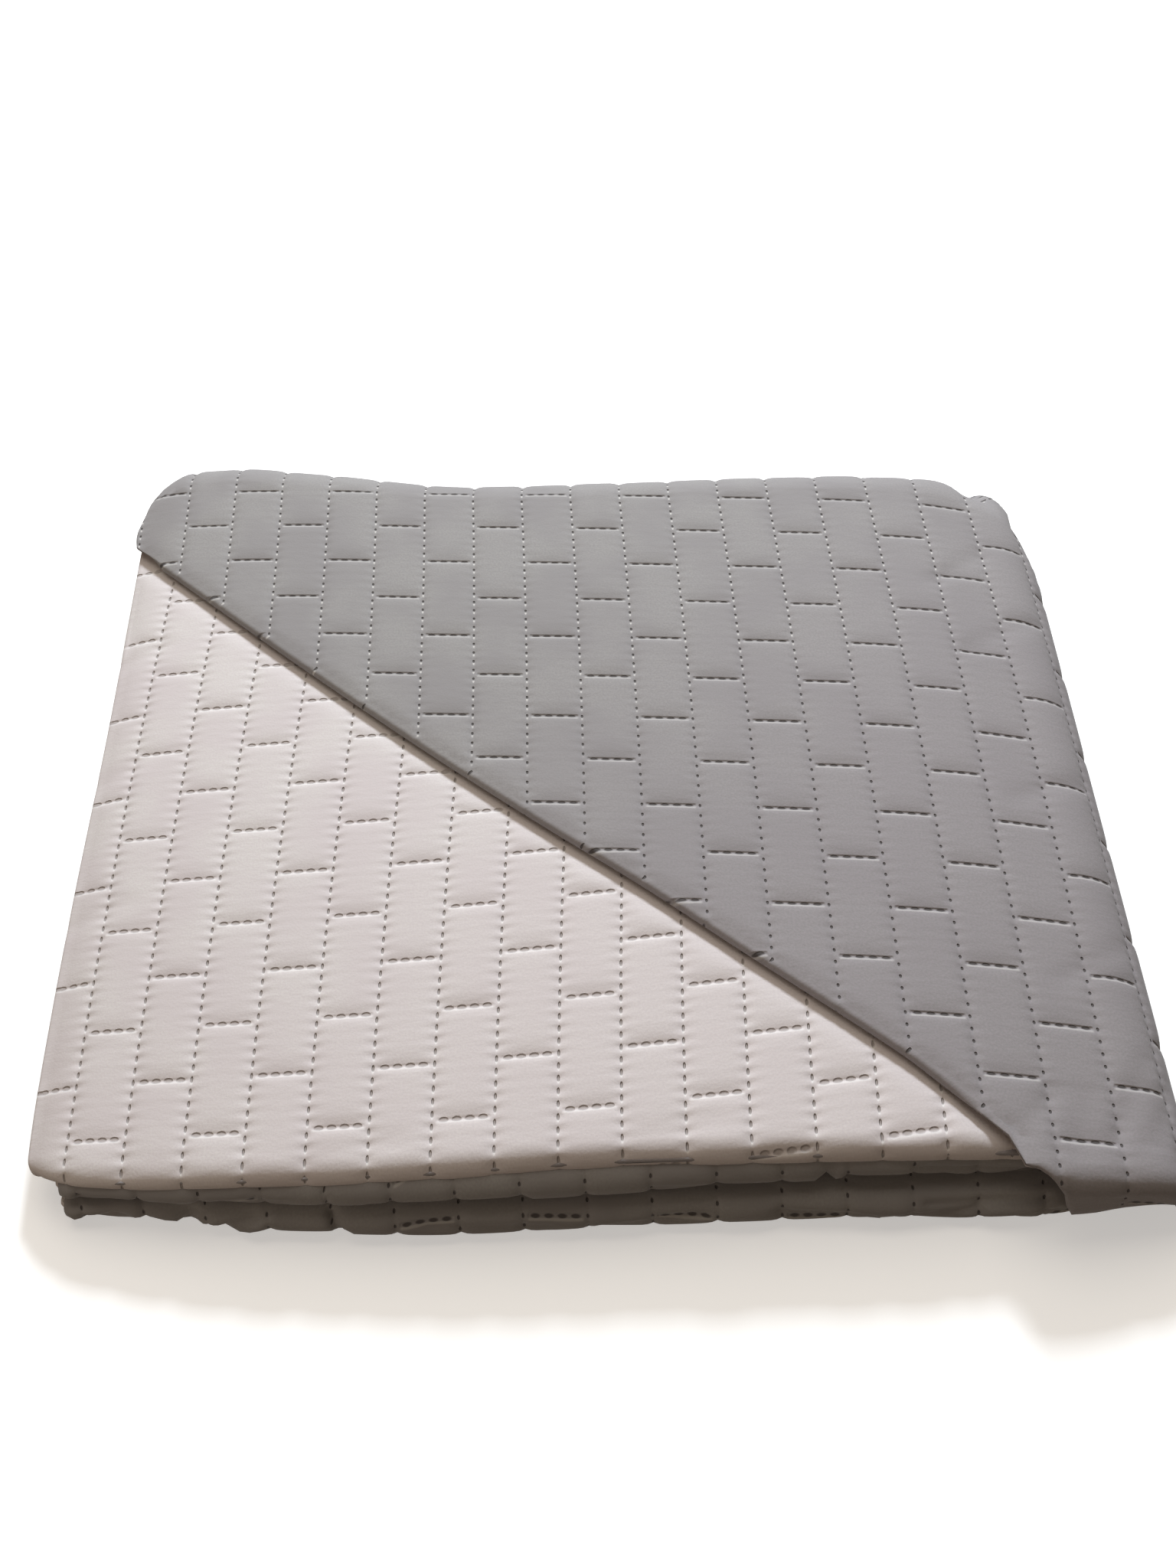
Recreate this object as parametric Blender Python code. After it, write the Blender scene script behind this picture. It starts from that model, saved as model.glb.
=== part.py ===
"""A reversible quilt, light on one face and grey on the other, folded to a flat pack.

The cloth is one sheet, folded twice. Across its width it is folded in three, so that each layer of
the pack is a bundle of three plies joined by a fold at the right and one at the left. Along its
length the bundle then runs back and forth: the top layer, a wide turn down the back, the bottom
layer, and two folds at the front. On the top layer the free corner of the grey ply is turned under
along a diagonal, so that the light ply below it shows, and its right margin hangs to the floor.

Metres, +Z up, X along the front edge and Y from the front to the back.
"""

import collections
import math

import bmesh
import bpy

# The cloth and its stitched bricks.
PLY = 0.0025
GAP = 0.0005
COLUMN = 0.026
HALF_COLUMN = COLUMN / 2
CROWN = 0.0016
SHOULDER = 0.8 * CROWN
DIMPLE = 0.0004
FLAT_MARGIN = 0.008
UNDER_EDGE_MARGIN = 0.016

# The layers of the pack.
PITCH = PLY + GAP
BUNDLE = 3 * PITCH
FRONT_TURN = BUNDLE / 2
BACK_TURN = 2 * BUNDLE
LOWER_LEVEL = BUNDLE
INNER_LEVEL = 2 * BUNDLE
WRAP_LEVEL = 2.5 * BUNDLE
UPPER_LEVEL = 3 * BUNDLE
END_LEVEL = 3.5 * BUNDLE
TOP_LEVEL = 4.5 * BUNDLE
FOLD_REACH = FRONT_TURN + PITCH + PLY / 2
BASE_LEVEL = FRONT_TURN - PITCH - PLY / 2

# Where the grid of stitched lines lies, and how far the folds reach to the sides. The rows of
# stitches lean, so that they lie nearer the front at the right.
FIRST_LINE = 0.0123
FIRST_ROW = 0.0144
ROW_LEAN = -0.1
HEM_HALF_COLUMN = -3
FIRST_HALF_COLUMN = -1
LAST_HALF_COLUMN = 35
LAST_ROW = 33
GREY_FIRST_STITCH = 0
LIGHT_FIRST_STITCH = 1
LIGHT_HALF_COLUMNS = 1
LOW_LEFT = 0.0
LOW_RIGHT = 0.424
INNER_BACK = 0.010
INNER_END = 0.016

# The right margin of the top layer: it bends over the edge, then runs straight to the floor.
MARGIN_START = 0.4272
MARGIN_RADIUS = 0.022
MARGIN_ANGLE = math.radians(80)
MARGIN_DROP = 0.0172
MARGIN_END = MARGIN_START + MARGIN_RADIUS * MARGIN_ANGLE + MARGIN_DROP
CORNER_RADIUS = 0.066
CORNER_POWER = 1.5

# The turned corner of the grey ply: its edge runs from the back left to the front right.
EDGE_START_X = -0.0075
EDGE_START_Y = 0.350
EDGE_SLOPE = -0.889
EDGE_ANGLE = math.atan(-EDGE_SLOPE)
EDGE_RADIUS = PITCH / 2
EDGE_LEVEL = 1.5 * PITCH

# The front corner of the top layer hangs over the front of the pack. CORNER_LENGTHS says by how
# much at each half column of the grid.
CORNER_FRONT = -0.0075
CORNER_BEND = 0.007
CORNER_LENGTHS = {29: 0.001, 30: 0.016, 31: 0.042, 32: 0.040, 33: 0.022, 34: 0.010, 35: 0}

# The strip that is turned under, and where it ends at the front right.
TUCK = 0.070
TUCK_CLEAR = 0.014
TUCK_FADE = (0.350, 0.385)

TURN_STEPS = 4
WRAP_STEPS = 6
EDGE_TURN_ANGLES = [math.radians(angle) for angle in (-90, -30, 30, 90)]
HEM_STEPS = len(EDGE_TURN_ANGLES)
HEM_STEP = 0.0007
HEM_TAPER = (0.45, 0.85)
SAME_POINT = 0.000002
FLAT_ANGLE = math.radians(0.25)
GREY_COLOUR = (0.31, 0.29, 0.31, 1)
LIGHT_COLOUR = (0.58, 0.54, 0.54, 1)
ROUGHNESS = 0.85

# How the pack changes from left to right. half_column places the station. hem is the front edge of
# the light ply, upper and lower are the fronts of the two folds below it, and back is where the
# back turn starts. front_loft and back_loft are the height of the layers at y = 0 and at
# LOFT_BACK, as a share of their full height.
Station = collections.namedtuple("Station", "half_column hem upper lower back front_loft back_loft")
STATIONS = [
    Station(-2, 0.015, 0.013, 0.012, 0.398, 0.46, 0.80),
    Station(-1, 0.010, 0.009, 0.005, 0.407, 0.59, 0.87),
    Station(1, 0.005, 0.005, 0.002, 0.409, 0.71, 0.925),
    Station(5, 0.001, 0.000, -0.004, 0.399, 0.84, 0.975),
    Station(11, -0.001, -0.004, -0.010, 0.382, 0.95, 0.98),
    Station(16, 0.000, -0.004, -0.010, 0.378, 1.00, 0.99),
    Station(22, -0.001, -0.002, -0.010, 0.376, 1.00, 0.98),
    Station(28, -0.002, -0.001, -0.0125, 0.373, 0.92, 0.95),
    Station(30, -0.002, 0.000, -0.0125, 0.372, 0.84, 0.91),
    Station(32, -0.003, 0.001, -0.004, 0.367, 0.75, 0.81),
]
LOFT_BACK = 0.40

# The left end of the top layer, by how far back it is.
LeftEnd = collections.namedtuple("LeftEnd", "y x")
LEFT_ENDS = [
    LeftEnd(0.00, -0.0105),
    LeftEnd(0.03, -0.0130),
    LeftEnd(0.09, -0.0146),
    LeftEnd(0.15, -0.0148),
    LeftEnd(0.25, -0.0138),
    LeftEnd(0.36, -0.0145),
]

# A column of the sheet runs along its length, and a row runs across its width.
Column = collections.namedtuple("Column", "ply half_column angle")
Row = collections.namedtuple("Row", "part place")


def line_x(half_column):
    return FIRST_LINE + half_column * HALF_COLUMN


def clamp(value, low, high):
    return max(low, min(high, value))


def blend(start, end, share):
    return start + (end - start) * share


def between(places, values, x):
    """The value at x, straight between the places of a short table."""
    for i in range(len(places) - 1):
        if x <= places[i + 1]:
            share = clamp((x - places[i]) / (places[i + 1] - places[i]), 0, 1)
            return blend(values[i], values[i + 1], share)
    return values[-1]


def station_value(x, name):
    """The named column of STATIONS at x."""
    places = [line_x(station.half_column) for station in STATIONS]
    return between(places, [getattr(station, name) for station in STATIONS], x)


def top_left(y):
    return between([end.y for end in LEFT_ENDS], [end.x for end in LEFT_ENDS], y)


def edge_front(x):
    """The front end of the grey top ply: the diagonal, then the corner at the front right."""
    return max(EDGE_START_Y + EDGE_SLOPE * (x - EDGE_START_X), CORNER_FRONT)


def margin_right(y, back):
    """How far the top layer reaches to the right, with the corner at the back drawn in."""
    share = clamp((y - back + CORNER_RADIUS) / CORNER_RADIUS, 0, 1)
    return blend(MARGIN_END, LOW_RIGHT, share**CORNER_POWER)


def columns_of_sheet():
    """From the left hem of ply a, over the right fold, along b, over the left fold and along c."""
    halves = [HEM_HALF_COLUMN] + list(range(FIRST_HALF_COLUMN, LAST_HALF_COLUMN + 1))
    turn = [math.pi * (0.5 - step / TURN_STEPS) for step in range(1, TURN_STEPS)]
    columns = [Column("a", half, 0) for half in halves]
    columns += [Column("right", LAST_HALF_COLUMN, angle) for angle in turn]
    columns += [Column("b", half, 0) for half in reversed(halves)]
    columns += [Column("left", HEM_HALF_COLUMN, angle) for angle in turn]
    columns += [Column("c", station.half_column, 0) for station in STATIONS]
    return columns


def rows_of_sheet():
    """From the front of the top layer, down the back and on through the layers below it."""
    rows = [Row("hem", step) for step in range(HEM_STEPS + 1)]
    rows += [Row("top", number) for number in range(LAST_ROW + 1)]
    rows += [Row("wrap", math.pi * step / WRAP_STEPS) for step in range(WRAP_STEPS + 1)]
    for part in ("lower", "inner", "upper"):
        rows += [Row(part, math.pi * step / TURN_STEPS) for step in range(TURN_STEPS + 1)]
    rows.append(Row("end", 0))
    return rows


def level_of_grey_ply(row):
    """How far ply a lies from ply b. On top it clears the corner that is turned under it."""
    if row.part in ("hem", "top"):
        return 2 * PITCH
    if row.part == "wrap":
        return blend(2 * PITCH, PITCH, row.place / math.pi)
    return PITCH


def left_end(row, y):
    if row.part in ("hem", "top"):
        return top_left(y)
    if row.part == "wrap":
        return blend(top_left(y), LOW_LEFT, row.place / math.pi)
    return LOW_LEFT


def home_x(column, row):
    """Where this column stands over the stack of layers, whose stations are read there."""
    right = LOW_RIGHT - PITCH if column.ply == "c" else LOW_RIGHT
    return clamp(line_x(column.half_column), left_end(row, LEFT_ENDS[-1].y), right)


def across(column, row, y, right):
    """x, the distance from ply b, and the direction of the grey face, across the bundle."""
    level = level_of_grey_ply(row)
    left = left_end(row, y)
    x = clamp(line_x(column.half_column), left, right)
    sine, cosine = math.sin(column.angle), math.cos(column.angle)
    if column.ply == "a":
        return x, level, (0, 1)
    if column.ply == "right":
        return right + level / 2 * cosine, level / 2 * (1 + sine), (cosine, sine)
    if column.ply == "b":
        return x, 0, (0, -1)
    if column.ply == "left":
        return left - PITCH / 2 * cosine, -PITCH / 2 * (1 - sine), (cosine, -sine)
    return home_x(column, row), -PITCH, (0, 1)


def over_front(column, front, level, step):
    """Lets the grey ply's front corner hang over the front of the pack: y, level and direction."""
    length = CORNER_LENGTHS.get(column.half_column, 0) * (1 - step / HEM_STEPS)
    angle = min(length / CORNER_BEND, math.pi / 2)
    straight = length - CORNER_BEND * angle
    y = front - CORNER_BEND * math.sin(angle)
    lower = level - CORNER_BEND * (1 - math.cos(angle)) - straight
    return y, lower, (-math.sin(angle), math.cos(angle))


def top_front(column, x):
    """Where this column of the top layer starts at the front."""
    hem = station_value(x, "hem")
    if column.ply == "a":
        return edge_front(x)
    if column.ply == "right":
        return CORNER_FRONT
    if column.ply == "c":
        return hem + PITCH
    return blend(hem, CORNER_FRONT, clamp((x - LOW_RIGHT) / COLUMN, 0, 1))


def over_margin(x, level, direction):
    """Bends the top layer's right margin over the edge of the layers below and down to the floor."""
    if x <= MARGIN_START:
        return x, TOP_LEVEL + level, direction
    angle = min((x - MARGIN_START) / MARGIN_RADIUS, MARGIN_ANGLE)
    straight = max(x - MARGIN_START - MARGIN_RADIUS * MARGIN_ANGLE, 0)
    sine, cosine = math.sin(angle), math.cos(angle)
    radius = MARGIN_RADIUS + level
    bent_x = MARGIN_START + radius * sine + straight * cosine
    bent_z = TOP_LEVEL - MARGIN_RADIUS + radius * cosine - straight * sine
    turned = (direction[0] * cosine + direction[1] * sine, direction[1] * cosine - direction[0] * sine)
    return bent_x, bent_z, turned


def turned_corner(x, step):
    """The strip of ply a that is turned under along the diagonal, and the turn itself."""
    centre_y = edge_front(x) + (EDGE_RADIUS + PLY / 2) / math.cos(EDGE_ANGLE)
    share = 1 - clamp((x - TUCK_FADE[0]) / (TUCK_FADE[1] - TUCK_FADE[0]), 0, 1)
    angle = blend(math.pi / 2, EDGE_TURN_ANGLES[max(step - 1, 0)], share)
    reach = math.cos(angle)
    out = (-math.sin(EDGE_ANGLE), -math.cos(EDGE_ANGLE))
    level = EDGE_LEVEL + EDGE_RADIUS * math.sin(angle)
    room = station_value(x, "back") - centre_y - TUCK_CLEAR
    inward = clamp(TUCK_FADE[0] - x, 0, min(TUCK, room)) if step == 0 else 0
    point = (
        x + EDGE_RADIUS * reach * out[0],
        centre_y + EDGE_RADIUS * reach * out[1] + inward + HEM_STEP * step * (1 - share),
        TOP_LEVEL + level,
    )
    return point, (reach * out[0], reach * out[1], math.sin(angle))


def top_point(column, row):
    """The middle of the cloth and the direction of its grey face, on the top layer."""
    home = clamp(line_x(column.half_column), LEFT_ENDS[-1].x, MARGIN_END)
    front = top_front(column, home)
    back = station_value(home_x(column, row), "back")
    if row.part == "hem":
        y = front + HEM_STEP * row.place
    else:
        y = FIRST_ROW + ROW_LEAN * min(home, MARGIN_START) + row.place * HALF_COLUMN
        y = clamp(y, front + (HEM_STEPS + 1) * HEM_STEP, back)
    x, level, direction = across(column, row, y, margin_right(y, back))
    lean = 0
    if row.part == "hem" and column.ply == "a" and column.half_column in CORNER_LENGTHS:
        y, level, turned_down = over_front(column, front, level, row.place)
        lean, direction = turned_down[0], (0, turned_down[1])
    if column.ply == "a" and row.part == "hem" and column.half_column not in CORNER_LENGTHS:
        return turned_corner(x, row.place)
    if column.ply == "a" and x < TUCK_FADE[1]:
        y = max(y, turned_corner(x, HEM_STEPS)[0][1])
    bent_x, z, turned = over_margin(x, level, direction)
    return (bent_x, y, z), (turned[0], lean, turned[1])


def along_turn(column, row):
    """Place and direction of ply b in the turns and layers below the top one: y, z, and normal."""
    home = home_x(column, row)
    back = station_value(home, "back")
    sine, cosine = math.sin(row.place), math.cos(row.place)
    if row.part == "wrap":
        return back + BACK_TURN * sine, WRAP_LEVEL + BACK_TURN * cosine, (sine, cosine)
    if row.part == "inner":
        y = back - INNER_BACK + FRONT_TURN * sine
        return y, INNER_LEVEL - FRONT_TURN * cosine, (-sine, cosine)
    if row.part == "end":
        return back - INNER_END, END_LEVEL, (0, 1)
    middle = LOWER_LEVEL if row.part == "lower" else UPPER_LEVEL
    front = station_value(home, row.part) + FOLD_REACH
    return front - FRONT_TURN * sine, middle - FRONT_TURN * cosine, (-sine, -cosine)


def low_point(column, row):
    """The middle of the cloth and the direction of its grey face, below the top layer."""
    y, z, normal = along_turn(column, row)
    x, level, direction = across(column, row, LEFT_ENDS[-1].y, LOW_RIGHT)
    point = (x, y + level * normal[0], z + level * normal[1])
    return point, (direction[0], direction[1] * normal[0], direction[1] * normal[1])


def brick_height(half_column, row_number, first_stitch):
    """How far a brick of the quilting stands out: a crown between lines, a dimple on a stitch."""
    if half_column % 2 == 0:
        return -DIMPLE
    brick = (half_column - 1) // 2
    steps = (row_number - first_stitch - 2 * (brick % 2)) % 4
    return (-DIMPLE, SHOULDER, CROWN, SHOULDER)[steps]


def raised(column, row, point):
    """The quilting that stands out of the grey face and of the light face at this point."""
    half = column.half_column
    back = station_value(home_x(column, row), "back")
    if half == HEM_HALF_COLUMN or line_x(half) > margin_right(point[1], back):
        return 0, 0
    past_edge = point[1] - edge_front(point[0])
    before_back = back - point[1]
    if row.part == "top" and before_back < FLAT_MARGIN:
        return 0, 0
    if row.part == "top" and column.ply == "a" and past_edge > FLAT_MARGIN:
        return brick_height(half, row.place, GREY_FIRST_STITCH), 0
    if row.part == "top" and column.ply == "b" and past_edge < -UNDER_EDGE_MARGIN:
        return 0, brick_height(half + LIGHT_HALF_COLUMNS, row.place, LIGHT_FIRST_STITCH)
    turns = row.part in ("lower", "upper") or row.part == "wrap" and row.place > 0
    if column.ply == "a" and turns and half % 2 and LOW_LEFT < point[0] < LOW_RIGHT:
        return CROWN * math.sin(row.place), 0
    return 0, 0


def settled(x, y, z):
    """The point once the layers have sunk to their loft."""
    loft = blend(station_value(x, "front_loft"), station_value(x, "back_loft"), y / LOFT_BACK)
    return x, y, (z - BASE_LEVEL) * loft


def both_faces(column, row):
    """The point on the grey face and the point on the light face."""
    if row.part in ("hem", "top"):
        point, direction = top_point(column, row)
    else:
        point, direction = low_point(column, row)
    half = PLY / 2
    if row.part == "hem" and row.place < len(HEM_TAPER):
        half *= HEM_TAPER[row.place]
    grey, light = raised(column, row, point)
    on_grey = [p + d * (half + grey) for p, d in zip(point, direction)]
    on_light = [p - d * (half + light) for p, d in zip(point, direction)]
    return settled(*on_grey), settled(*on_light)


def quilt_mesh():
    """One closed skin round the folded cloth: both faces and the four hems."""
    columns = columns_of_sheet()
    rows = rows_of_sheet()
    sheet = bmesh.new()
    grey, light = [], []
    for column in columns:
        pairs = [both_faces(column, row) for row in rows]
        grey.append([sheet.verts.new(pair[0]) for pair in pairs])
        light.append([sheet.verts.new(pair[1]) for pair in pairs])
    last_column, last_row = len(columns) - 1, len(rows) - 1
    for i in range(last_column):
        for j in range(last_row):
            sheet.faces.new((grey[i][j], grey[i + 1][j], grey[i + 1][j + 1], grey[i][j + 1]))
            face = sheet.faces.new((light[i][j], light[i][j + 1], light[i + 1][j + 1], light[i + 1][j]))
            face.material_index = 1
    for i in range(last_column):
        sheet.faces.new((grey[i][0], light[i][0], light[i + 1][0], grey[i + 1][0]))
        sheet.faces.new(
            (grey[i][last_row], grey[i + 1][last_row], light[i + 1][last_row], light[i][last_row])
        )
    for j in range(last_row):
        sheet.faces.new((grey[0][j], grey[0][j + 1], light[0][j + 1], light[0][j]))
        sheet.faces.new(
            (grey[last_column][j], light[last_column][j], light[last_column][j + 1], grey[last_column][j + 1])
        )
    bmesh.ops.remove_doubles(sheet, verts=sheet.verts, dist=SAME_POINT)
    bmesh.ops.dissolve_limit(
        sheet,
        angle_limit=FLAT_ANGLE,
        verts=sheet.verts,
        edges=sheet.edges,
        delimit={"MATERIAL"},
    )
    return sheet


def centre_on_floor(sheet):
    """Puts the middle of the pack's footprint at the origin, and its lowest point at z = 0."""
    lowest = [min(vert.co[axis] for vert in sheet.verts) for axis in range(3)]
    highest = [max(vert.co[axis] for vert in sheet.verts) for axis in range(3)]
    shift = (
        -(lowest[0] + highest[0]) / 2,
        -(lowest[1] + highest[1]) / 2,
        -lowest[2],
    )
    bmesh.ops.translate(sheet, verts=sheet.verts, vec=shift)


def cloth_material(name, colour):
    material = bpy.data.materials.new(name)
    material.use_nodes = True
    shader = material.node_tree.nodes["Principled BSDF"]
    shader.inputs["Base Color"].default_value = colour
    shader.inputs["Roughness"].default_value = ROUGHNESS
    material.diffuse_color = colour
    return material


def clear_scene():
    for obj in list(bpy.data.objects):
        bpy.data.objects.remove(obj, do_unlink=True)


def build_quilt():
    sheet = quilt_mesh()
    centre_on_floor(sheet)
    mesh = bpy.data.meshes.new("quilt")
    sheet.to_mesh(mesh)
    sheet.free()
    mesh.materials.append(cloth_material("grey_face", GREY_COLOUR))
    mesh.materials.append(cloth_material("light_face", LIGHT_COLOUR))
    quilt = bpy.data.objects.new("quilt", mesh)
    collection = bpy.data.collections.new("folded_quilt")
    bpy.context.scene.collection.children.link(collection)
    collection.objects.link(quilt)


clear_scene()
build_quilt()
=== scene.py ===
import collections
import math

import bmesh
import bpy
import numpy as np
from mathutils import Matrix, Vector


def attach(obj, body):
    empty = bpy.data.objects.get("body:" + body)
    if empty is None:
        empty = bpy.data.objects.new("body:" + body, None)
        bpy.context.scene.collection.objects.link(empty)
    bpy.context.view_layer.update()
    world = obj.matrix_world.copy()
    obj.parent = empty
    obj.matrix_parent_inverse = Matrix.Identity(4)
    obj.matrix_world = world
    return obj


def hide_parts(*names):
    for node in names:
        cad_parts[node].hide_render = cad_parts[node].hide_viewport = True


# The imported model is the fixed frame. Metres, +Z up, X along the front edge, Y from front to
# back.
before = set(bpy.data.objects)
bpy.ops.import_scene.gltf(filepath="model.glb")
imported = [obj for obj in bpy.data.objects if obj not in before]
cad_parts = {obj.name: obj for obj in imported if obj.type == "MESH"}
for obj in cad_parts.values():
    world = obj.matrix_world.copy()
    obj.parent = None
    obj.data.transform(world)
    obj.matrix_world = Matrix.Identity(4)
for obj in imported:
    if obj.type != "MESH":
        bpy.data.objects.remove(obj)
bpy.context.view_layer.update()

# The quilt is one sheet, pale on one face and grey on the other. It is folded in three across
# its width, and then back and forth along its length. The folds are worked out in raw
# coordinates, with the front edge near y = 0, and moved to the frame by this shift.
RAW_SHIFT = (-0.22084, -0.20930)

# The cloth and its welded bricks.
PLY = 0.0025
GAP = 0.0005
PITCH = PLY + GAP
COLUMN = 0.026
DOTS_PER_COLUMN = 4.5
DASHES_PER_COLUMN = 4.8

# How the bricks of a face puff out: the height, how far from a line they reach it, the share of
# the height that swells towards the middle, and the slopes behind and before a dashed seam. A
# seam's dip starts and is full this far from the lines beside it, and a brick is as full as
# LEAST_FULL and up to MORE_FULL more.
Puff = collections.namedtuple("Puff", "crown line_flank swell seam_back seam_front")
GREY_PUFF = Puff(0.0012, 0.0019, 0.10, 0.0040, 0.0014)
LIGHT_PUFF = Puff(0.0015, 0.0024, 0.18, 0.0034, 0.0015)
LINE_POWER = 1.4
SEAM_POWER = 1.3
DIP_START = 0.0005
DIP_WIDTH = 0.0025
LEAST_FULL = 0.85
MORE_FULL = 0.3

# Where the bricks of a face lie on the flat top layer. Line s is at x = line + line_lean * y +
# line_bow * y^2 + s * (column + column_fan * y), and half row t is at a y of the same form in x.
Grid = collections.namedtuple(
    "Grid", "line line_lean line_bow column column_fan row row_lean row_bow step step_fan"
)
GREY_GRID = Grid(0.0079, 0.042, -0.101, 0.02613, -0.0006, 0.0144, -0.103, 0.029, 0.02601, -0.0011)
LIGHT_GRID = Grid(0.0039, -0.031, 0.109, 0.02533, 0.0051, 0.0270, -0.066, 0.254, 0.02508, 0.0030)

# The layers of the pack.
BUNDLE = 3 * PITCH
FRONT_TURN = BUNDLE / 2
BACK_TURN = 2 * BUNDLE
LOWER_LEVEL = BUNDLE
INNER_LEVEL = 2 * BUNDLE
WRAP_LEVEL = 2.5 * BUNDLE
UPPER_LEVEL = 3 * BUNDLE
END_LEVEL = 3.5 * BUNDLE
TOP_LEVEL = 4.5 * BUNDLE
FOLD_REACH = FRONT_TURN + PITCH + PLY / 2
BASE_LEVEL = FRONT_TURN - PITCH - PLY / 2
LOW_LEFT = 0.0
LOW_RIGHT = 0.424
INNER_BACK = 0.010
INNER_END = 0.016

# The right margin of the top layer bends over the edge, then runs straight to the floor.
MARGIN_START = 0.4272
MARGIN_RADIUS = 0.022
MARGIN_ANGLE = math.radians(80)
MARGIN_DROP = 0.0172
MARGIN_END = MARGIN_START + MARGIN_RADIUS * MARGIN_ANGLE + MARGIN_DROP
OUTER_RADIUS = MARGIN_RADIUS + 2 * PITCH + PLY / 2
OUTER_SHARE = MARGIN_RADIUS / OUTER_RADIUS
CORNER_REACH = 0.066
CORNER_POWER = 1.15

# The turned corner of the grey ply, from the back left to the front right. Its edge is a straight
# line that bows out by EDGE_BOWS at the x of EDGE_PLACES. Its left end is rounded. Under the edge
# the ply runs back by TUCK, which fades out between the two x of TUCK_FADE.
EDGE_START_X = -0.0075
EDGE_START_Y = 0.3488
EDGE_SLOPE = -0.889
EDGE_ANGLE = math.atan(-EDGE_SLOPE)
EDGE_RADIUS = PITCH / 2
EDGE_LEVEL = 1.5 * PITCH
EDGE_PLACES = (
    -0.0130, 0.0285, 0.0595, 0.110, 0.156, 0.205, 0.246, 0.286, 0.326, 0.352, 0.375, 0.3876,
)
EDGE_BOWS = (
    0.0087, 0.0053, 0.0029, 0.0006, 0.0, 0.0012, 0.0038, 0.0044, 0.0060, 0.0064, 0.0040, 0.0,
)
EDGE_CORNER = 0.0065
EDGE_CORNER_WIDTH = 0.018
TUCK = 0.070
TUCK_CLEAR = 0.014
TUCK_FADE = (0.350, 0.385)

# The front corner of the top layer hangs over the front, by these lengths along x. It stays this
# far above the underside.
CORNER_FRONT = -0.0075
CORNER_BEND = 0.007
CORNER_CLEAR = 0.004
CORNER_PLACES = (0.388, 0.394, 0.399, 0.4025, 0.4055, 0.412, 0.424, 0.435, 0.449, 0.462, 0.476)
CORNER_LENGTHS = (0.000, 0.003, 0.009, 0.018, 0.034, 0.038, 0.033, 0.027, 0.020, 0.011, 0.000)

# The rolled front edge of the light ply. It is set back by LIP_SET, and its left corner is
# rounded by LIP_CORNER.
LIP_RADIUS = 0.007
LIP_ANGLE = math.radians(92)
LIP_SET = 0.0030
LIP_CORNER = 0.0045
LIP_CORNER_WIDTH = 0.022
LIP_CORNER_POWER = 1.5

# How the pack changes from left to right: hem is the front edge of the light ply, upper and lower
# are the fronts of the folds below it, back is where the back turn starts, and front_loft and
# back_loft are the height of the layers at y = 0 and at LOFT_BACK, as a share of the full one.
Station = collections.namedtuple("Station", "x hem upper lower back front_loft back_loft")
STATIONS = [
    Station(-0.0137, 0.015, 0.013, 0.012, 0.398, 0.46, 0.80),
    Station(-0.0007, 0.010, 0.009, 0.005, 0.407, 0.59, 0.87),
    Station(0.0253, 0.005, 0.005, 0.002, 0.409, 0.71, 0.925),
    Station(0.0773, 0.001, 0.000, -0.004, 0.399, 0.84, 0.975),
    Station(0.1553, -0.001, -0.004, -0.010, 0.382, 0.95, 0.98),
    Station(0.2203, 0.000, -0.004, -0.010, 0.378, 1.00, 0.99),
    Station(0.2983, -0.001, -0.002, -0.010, 0.376, 1.00, 0.98),
    Station(0.3763, -0.002, -0.001, -0.0125, 0.373, 0.92, 0.95),
    Station(0.4023, -0.002, 0.000, -0.0125, 0.371, 0.84, 0.91),
    Station(0.4153, -0.0025, 0.0005, -0.0088, 0.3690, 0.795, 0.86),
    Station(0.4283, -0.003, 0.001, -0.004, 0.3598, 0.75, 0.81),
    Station(0.4413, -0.003, 0.001, -0.004, 0.352, 0.75, 0.81),
]
LOFT_BACK = 0.40

# The left end of the top layer, by how far back it is.
LEFT_PLACES = (0.0, 0.03, 0.09, 0.15, 0.25, 0.36)
LEFT_ENDS = (-0.0105, -0.0130, -0.0146, -0.0148, -0.0138, -0.0145)

# The grey hem bulges past that end at the turned corner.
LEFT_BULGE = 0.0042
LEFT_BULGE_PLACE = 0.378
LEFT_BULGE_WIDTH = 0.015

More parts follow.
